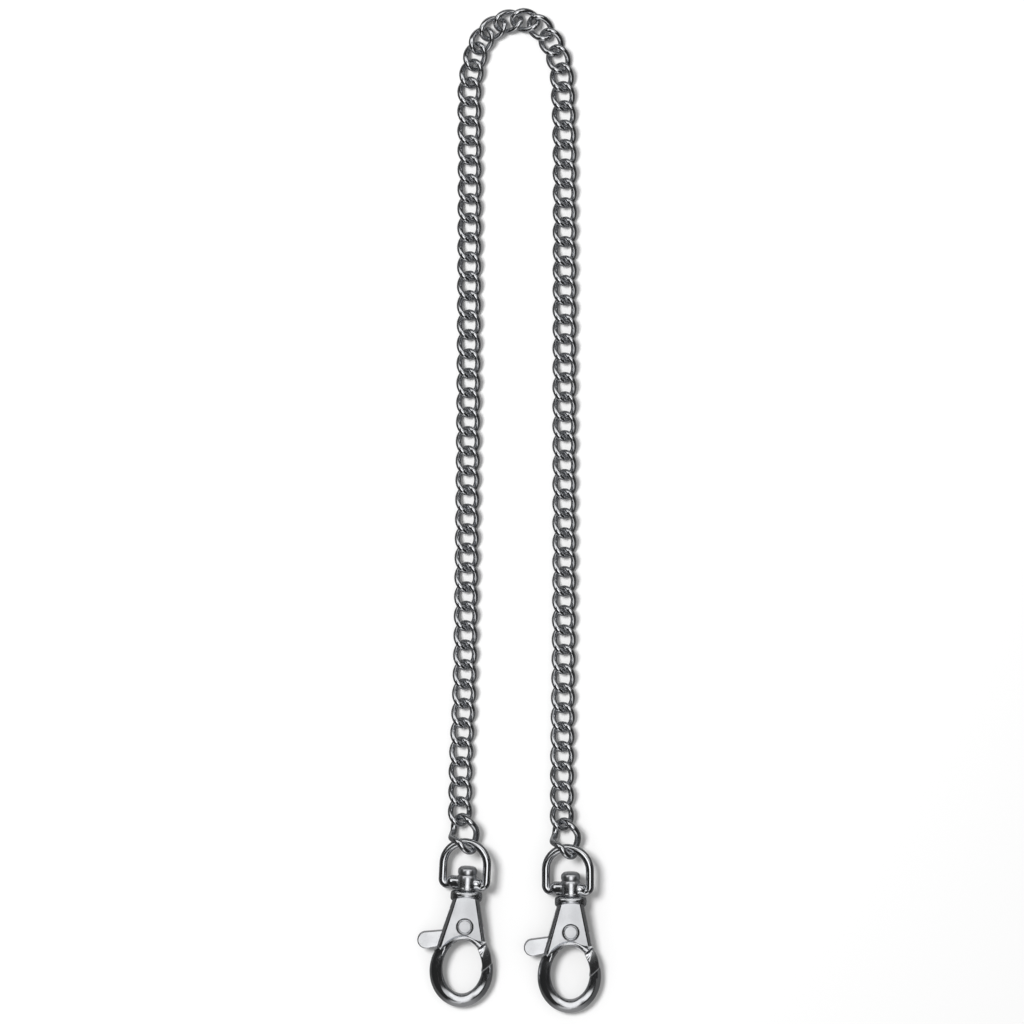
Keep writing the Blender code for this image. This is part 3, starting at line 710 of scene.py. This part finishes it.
def eye_mesh(name):
    """A D of round bar whose bottom bar swells into a bored boss."""
    points = []
    for i in range(33):
        a = math.pi * i / 32
        points.append((EYE_HALF_WIDTH * math.cos(a), EYE_ARCH_Y + EYE_HALF_WIDTH * math.sin(a)))
    low = EYE_BAR_Y + EYE_CORNER_R
    bar = []
    for centre, start in ((-1, math.pi), (1, 1.5 * math.pi)):
        x = centre * (EYE_HALF_WIDTH - EYE_CORNER_R)
        for i in range(11):
            a = start + math.pi / 2 * i / 10
            bar.append((x + EYE_CORNER_R * math.cos(a), low + EYE_CORNER_R * math.sin(a)))
    points += [(-EYE_HALF_WIDTH, mix(EYE_ARCH_Y, low, t)) for t in (0.33, 0.66)]
    points += bar[:11]
    along_bar = (0.04, 0.08, 0.13, 0.2, 0.3, 0.5, 0.7, 0.85, 0.93)
    points += [(mix(bar[10][0], bar[11][0], t), EYE_BAR_Y) for t in along_bar]
    points += bar[11:]
    points += [(EYE_HALF_WIDTH, mix(low, EYE_ARCH_Y, t)) for t in (0.33, 0.66)]
    line = [Vector((x + EYE_OFFSET, y, 0)) for x, y in points]

    def flare(point):
        """How much thicker than its wire the bar is, next to the boss."""
        near = 1 - smooth(-point.x, 3.5, 4.7) if point.x < 0 else 1 - smooth(point.x, 2.3, 3.5)
        return EYE_FLARE * near

    swell = [flare(p) if p.y < EYE_BAR_Y + 0.6 else 0.0 for p in line]
    for point, more in zip(line, swell):
        point.y += EYE_WIRE_R * more
    wire = swept(name, line, lambda i: EYE_WIRE_R * (1 + swell[i]), 20, lambda i: UP)
    boss = turned("boss", rounded([
        (2.1, 0.12), (2.38, 0.26), (2.42, 0.55), (2.32, 0.80), (BOSS_R, 3.20), (2.05, 3.60),
    ], 3, 0.4))
    bore = turned("bore", [(1.38, -1.0), (1.38, 4.6)])
    data = boolean(wire, [("UNION", boss), ("DIFFERENCE", bore)])
    finish_mesh(data, 32)
    return data


def pin_mesh(name):
    """The swivel pin and its domed head."""
    profile = [
        (PIN_R, -2.6), (PIN_R, 3.72), (2.14, 3.72), (2.22, 4.0), (2.2, 4.9), (1.75, 5.45), (0.9, 5.62),
        (0.3, 5.64),
    ]
    return turned(name, rounded(profile, 3, 0.35), sharp=40)


def hook(side, materials):
    """The six pieces of one snap hook, each on its body."""
    pin_axis = Vector(JOINTS[f"{side}_swivel"]["axis"])
    face = -Vector(JOINTS[f"{side}_trigger_turn"]["axis"])
    across = pin_axis.cross(face).normalized()
    rotation = Matrix((across, pin_axis, face)).transposed()
    home = Matrix.Translation(at(f"{side}_swivel")) @ rotation.to_4x4()
    eye_home = home @ Matrix.Rotation(-EYE_TURN, 4, "Y")
    hook_body, lever, eye = f"{side}_hook", f"{side}_lever", f"{side}_eye"
    satin, polished, steel = materials["satin"], materials["polished"], materials["steel"]
    spring = materials["spring"]
    shown = [
        ("body", body_mesh, home, satin, hook_body, "hook_plate", f"{side}_hook_body"),
        ("rivet", rivet_mesh, home, steel, hook_body, "rivet_steel", f"{side}_pivot_rivet"),
        ("spring", spring_mesh, home, spring, hook_body, "spring_steel", f"{side}_trigger_spring"),
        ("pin", pin_mesh, home, polished, hook_body, "swivel_plate", f"{side}_swivel_pin"),
        ("lever", trigger_mesh, home, materials["trigger"], lever, "trigger_plate", f"{side}_trigger"),
        ("eye", eye_mesh, eye_home, polished, eye, "swivel_plate", f"{side}_swivel_eye"),
    ]
    for part, make, matrix, material, body, slot, node in shown:
        place(f"{side}_snap_{part}", make(f"{part}_mesh"), matrix, material, body, [node])


# Materials


class Nodes:
    """Short names for building a node tree."""

    def __init__(self, tree):
        self.tree = tree

    def add(self, kind, **settings):
        node = self.tree.nodes.new(kind)
        for key, value in settings.items():
            setattr(node, key, value)
        return node

    def join(self, source, target):
        self.tree.links.new(source, target)

    def math(self, operation, a, b=0.0, clamp=False):
        node = self.add("ShaderNodeMath", operation=operation, use_clamp=clamp)
        for socket, value in zip(node.inputs, (a, b)):
            if isinstance(value, (int, float)):
                socket.default_value = value
            else:
                self.join(value, socket)
        return node.outputs[0]

    def ramp(self, value, low, high, to_low=0.0, to_high=1.0):
        node = self.add("ShaderNodeMapRange", interpolation_type="SMOOTHSTEP")
        self.join(value, node.inputs["Value"])
        for key, number in zip(("From Min", "From Max", "To Min", "To Max"), (low, high, to_low, to_high)):
            node.inputs[key].default_value = number
        return node.outputs["Result"]

    def noise(self, vector, scale, detail=2.0, roughness=0.5):
        node = self.add("ShaderNodeTexNoise")
        self.join(vector, node.inputs["Vector"])
        node.inputs["Scale"].default_value = scale
        node.inputs["Detail"].default_value = detail
        node.inputs["Roughness"].default_value = roughness
        return node.outputs["Fac"]


def nickel(name, colour, rough, rough_spread, bump, satin=0.0, soft=None):
    """Nickel plate: uneven roughness, faint waviness and fine handling marks.

    satin adds roughness to flat faces. soft holds a radius round y, two heights on it and the roughness added
    between them."""
    material = bpy.data.materials.new(name)
    material.use_nodes = True
    n = Nodes(material.node_tree)
    shader = material.node_tree.nodes["Principled BSDF"]
    where = n.add("ShaderNodeTexCoord").outputs["Object"]
    broad = n.noise(where, 260, 3)
    fine = n.noise(where, 2600, 4, 0.6)
    stretch = n.add("ShaderNodeMapping")
    stretch.inputs["Scale"].default_value = (1.0, 0.12, 1.0)
    n.join(where, stretch.inputs["Vector"])
    marks = n.noise(stretch.outputs["Vector"], 5200, 3, 0.65)
    scratch = n.ramp(marks, 0.60, 0.78)
    roughness = n.ramp(broad, 0.3, 0.7, rough - rough_spread, rough + rough_spread)
    roughness = n.math("ADD", roughness, n.math("MULTIPLY", scratch, 0.10))
    if satin:
        normal = n.add("ShaderNodeNewGeometry").outputs["Normal"]
        split = n.add("ShaderNodeSeparateXYZ")
        n.join(normal, split.inputs[0])
        flat = n.ramp(n.math("ABSOLUTE", split.outputs["Z"]), 0.965, 0.99)
        roughness = n.math("ADD", roughness, n.math("MULTIPLY", flat, satin))
    if soft:
        radius, low, high, more = soft
        split = n.add("ShaderNodeSeparateXYZ")
        n.join(where, split.inputs[0])
        x, y, z = split.outputs
        reach = n.math("SQRT", n.math("ADD", n.math("MULTIPLY", x, x), n.math("MULTIPLY", z, z)))
        inside = n.ramp(reach, radius * MM, (radius + 0.3) * MM, 1.0, 0.0)
        inside = n.math("MULTIPLY", inside, n.ramp(y, (low - 0.2) * MM, low * MM))
        inside = n.math("MULTIPLY", inside, n.ramp(y, high * MM, (high + 0.2) * MM, 1.0, 0.0))
        roughness = n.math("ADD", roughness, n.math("MULTIPLY", inside, more))
    n.join(roughness, shader.inputs["Roughness"])
    shade = n.add("ShaderNodeMix", data_type="RGBA", blend_type="MIX")
    n.join(n.math("MULTIPLY", n.ramp(fine, 0.45, 0.75), WORN), shade.inputs["Factor"])
    shade.inputs["A"].default_value = (*colour, 1)
    shade.inputs["B"].default_value = (*[c * 0.72 for c in colour], 1)
    n.join(shade.outputs["Result"], shader.inputs["Base Color"])
    shader.inputs["Metallic"].default_value = 1.0
    height = n.math("ADD", n.math("MULTIPLY", broad, 0.6), n.math("MULTIPLY", marks, 0.25))
    bumps = n.add("ShaderNodeBump")
    bumps.inputs["Strength"].default_value = bump
    bumps.inputs["Distance"].default_value = 0.00005
    n.join(height, bumps.inputs["Height"])
    n.join(bumps.outputs["Normal"], shader.inputs["Normal"])
    return material


# Stage


def floor_shape(tree):
    """Geometry nodes that drop the floor to the lowest point of the object, so a moved pose stands on it."""
    tree.interface.new_socket("Geometry", in_out="INPUT", socket_type="NodeSocketGeometry")
    tree.interface.new_socket("Geometry", in_out="OUTPUT", socket_type="NodeSocketGeometry")
    n = Nodes(tree)
    source = n.add("NodeGroupInput")
    target = n.add("NodeGroupOutput")
    pieces = n.add("GeometryNodeCollectionInfo", transform_space="RELATIVE")
    pieces.inputs["Collection"].default_value = bpy.data.collections["object"]
    real = n.add("GeometryNodeRealizeInstances")
    n.join(pieces.outputs["Instances"], real.inputs["Geometry"])
    limits = n.add("GeometryNodeBoundBox")
    n.join(real.outputs["Geometry"], limits.inputs["Geometry"])
    split = n.add("ShaderNodeSeparateXYZ")
    n.join(limits.outputs["Min"], split.inputs[0])
    lowest = n.math("MINIMUM", split.outputs["Z"], 0.0)
    shift = n.add("ShaderNodeCombineXYZ")
    n.join(lowest, shift.inputs["Z"])
    move = n.add("GeometryNodeTransform")
    n.join(source.outputs[0], move.inputs["Geometry"])
    n.join(shift.outputs[0], move.inputs["Translation"])
    n.join(move.outputs["Geometry"], target.inputs[0])


def floor():
    """A plain white table: seen in the metal as a dim card, and clear from below."""
    data = bpy.data.meshes.new("floor")
    half = FLOOR_SIZE / 2
    corners = [(-half, -half, 0), (half, -half, 0), (half, half, 0), (-half, half, 0)]
    data.from_pydata(corners, [], [(0, 1, 2, 3)])
    obj = bpy.data.objects.new("floor", data)
    bpy.context.scene.collection.objects.link(obj)
    group = bpy.data.node_groups.new("floor_drop", "GeometryNodeTree")
    floor_shape(group)
    obj.modifiers.new("drop", "NODES").node_group = group
    material = bpy.data.materials.new("white_table")
    material.use_nodes = True
    data.materials.append(material)
    tree = material.node_tree
    n = Nodes(tree)
    plain = tree.nodes["Principled BSDF"]
    plain.inputs["Base Color"].default_value = (*[FLOOR_SHADE] * 3, 1)
    plain.inputs["Roughness"].default_value = 0.9
    plain.inputs["Specular IOR Level"].default_value = 0.0
    path = n.add("ShaderNodeLightPath")
    geometry = n.add("ShaderNodeNewGeometry")
    split = n.add("ShaderNodeSeparateXYZ")
    n.join(geometry.outputs["Incoming"], split.inputs[0])
    sideways = n.math("ABSOLUTE", split.outputs["X"])
    seen = n.add("ShaderNodeEmission")
    card = n.ramp(sideways, 0.25, 0.7, FLOOR_IN_METAL[0], FLOOR_IN_METAL[1])
    grey = n.add("ShaderNodeCombineColor")
    for socket in grey.inputs:
        n.join(card, socket)
    n.join(grey.outputs[0], seen.inputs["Color"])
    in_metal = n.add("ShaderNodeMixShader")
    n.join(n.math("MULTIPLY", path.outputs["Is Glossy Ray"], FLOOR_IN_METAL[2]), in_metal.inputs["Fac"])
    n.join(plain.outputs[0], in_metal.inputs[1])
    n.join(seen.outputs[0], in_metal.inputs[2])
    clear = n.add("ShaderNodeBsdfTransparent")
    below = n.add("ShaderNodeMixShader")
    n.join(geometry.outputs["Backfacing"], below.inputs["Fac"])
    n.join(in_metal.outputs[0], below.inputs[1])
    n.join(clear.outputs[0], below.inputs[2])
    n.join(below.outputs[0], tree.nodes["Material Output"].inputs["Surface"])
    return obj


def world():
    """A dark room with soft boxes for the metal, and an even light for everything else."""
    made = bpy.data.worlds.new("studio")
    bpy.context.scene.world = made
    made.use_nodes = True
    tree = made.node_tree
    n = Nodes(tree)
    back = tree.nodes["Background"]
    where = n.add("ShaderNodeTexCoord").outputs["Generated"]
    total = None
    for direction, widths, strength in SOFT_BOXES:
        offset = n.add("ShaderNodeVectorMath", operation="SUBTRACT")
        n.join(where, offset.inputs[0])
        offset.inputs[1].default_value = Vector(direction).normalized()
        scaled = n.add("ShaderNodeVectorMath", operation="MULTIPLY")
        n.join(offset.outputs[0], scaled.inputs[0])
        scaled.inputs[1].default_value = (1 / widths[0], 1 / widths[1], 1 / max(widths))
        length = n.add("ShaderNodeVectorMath", operation="LENGTH")
        n.join(scaled.outputs[0], length.inputs[0])
        glow = n.ramp(length.outputs["Value"], 0.60, 1.25, strength, 0.0)
        total = glow if total is None else n.math("ADD", total, glow)
    room = n.math("ADD", total, ROOM)
    path = n.add("ShaderNodeLightPath")
    pick = n.add("ShaderNodeMix", data_type="FLOAT")
    n.join(path.outputs["Is Glossy Ray"], pick.inputs["Factor"])
    pick.inputs["A"].default_value = AMBIENT
    n.join(room, pick.inputs["B"])
    n.join(pick.outputs[0], back.inputs["Strength"])
    back.inputs["Color"].default_value = (1, 1, 1, 1)


def key_light():
    lamp = bpy.data.lights.new("key", "AREA")
    lamp.shape = "DISK"
    lamp.size = KEY_SIZE
    lamp.energy = KEY_POWER
    obj = bpy.data.objects.new("key", lamp)
    bpy.context.scene.collection.objects.link(obj)
    obj.location = Vector(KEY_AT)
    obj.rotation_euler = (-obj.location).to_track_quat("-Z", "Y").to_euler()
    obj.visible_glossy = False


def camera():
    """Straight down on the middle of the object."""
    lens = bpy.data.cameras.new("camera")
    obj = bpy.data.objects.new("camera", lens)
    bpy.context.scene.collection.objects.link(obj)
    low, high = Vector(cad_bounds[0]), Vector(cad_bounds[1])
    middle = (low + high) / 2
    obj.location = (middle.x + LOOK_AT[0], middle.y + LOOK_AT[1], middle.z + CAMERA_HEIGHT)
    lens.sensor_width = 36
    lens.lens = lens.sensor_width * CAMERA_HEIGHT / FIELD_WIDTH
    lens.clip_start = 0.01
    lens.clip_end = 20
    bpy.context.scene.camera = obj


def main():
    materials = {
        "chain": nickel("chain_nickel", (0.64, 0.65, 0.67), 0.14, 0.05, 0.35),
        "polished": nickel("swivel_nickel", (0.64, 0.65, 0.67), 0.15, 0.05, 0.35, soft=(2.5, 0.0, 6.0, 0.11)),
        "satin": nickel(
            "hook_nickel", (0.69, 0.70, 0.72), 0.16, 0.04, 0.30, satin=0.20, soft=(3.8, -1.4, 0.2, 0.09)
        ),
        # The trigger uses the hook's nickel made lighter: painted brightness, so its flat tab facing up reads
        # as lit
        "trigger": nickel("trigger_nickel_painted_light", (0.79, 0.80, 0.82), 0.18, 0.04, 0.30, satin=0.20),
        "steel": nickel("rivet_steel", (0.50, 0.51, 0.53), 0.20, 0.05, 0.30),
        "spring": nickel("spring_steel", (0.50, 0.51, 0.53), 0.28, 0.06, 0.30),
    }
    chain(materials["chain"])
    for side in SIDES:
        end_link(side, materials["chain"])
        hook(side, materials)
    shown = bpy.data.collections.new("object")
    bpy.context.scene.collection.children.link(shown)
    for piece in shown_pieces():
        shown.objects.link(piece)
    floor()
    world()
    key_light()
    camera()
    bpy.context.scene.view_settings.view_transform = "Standard"


main()
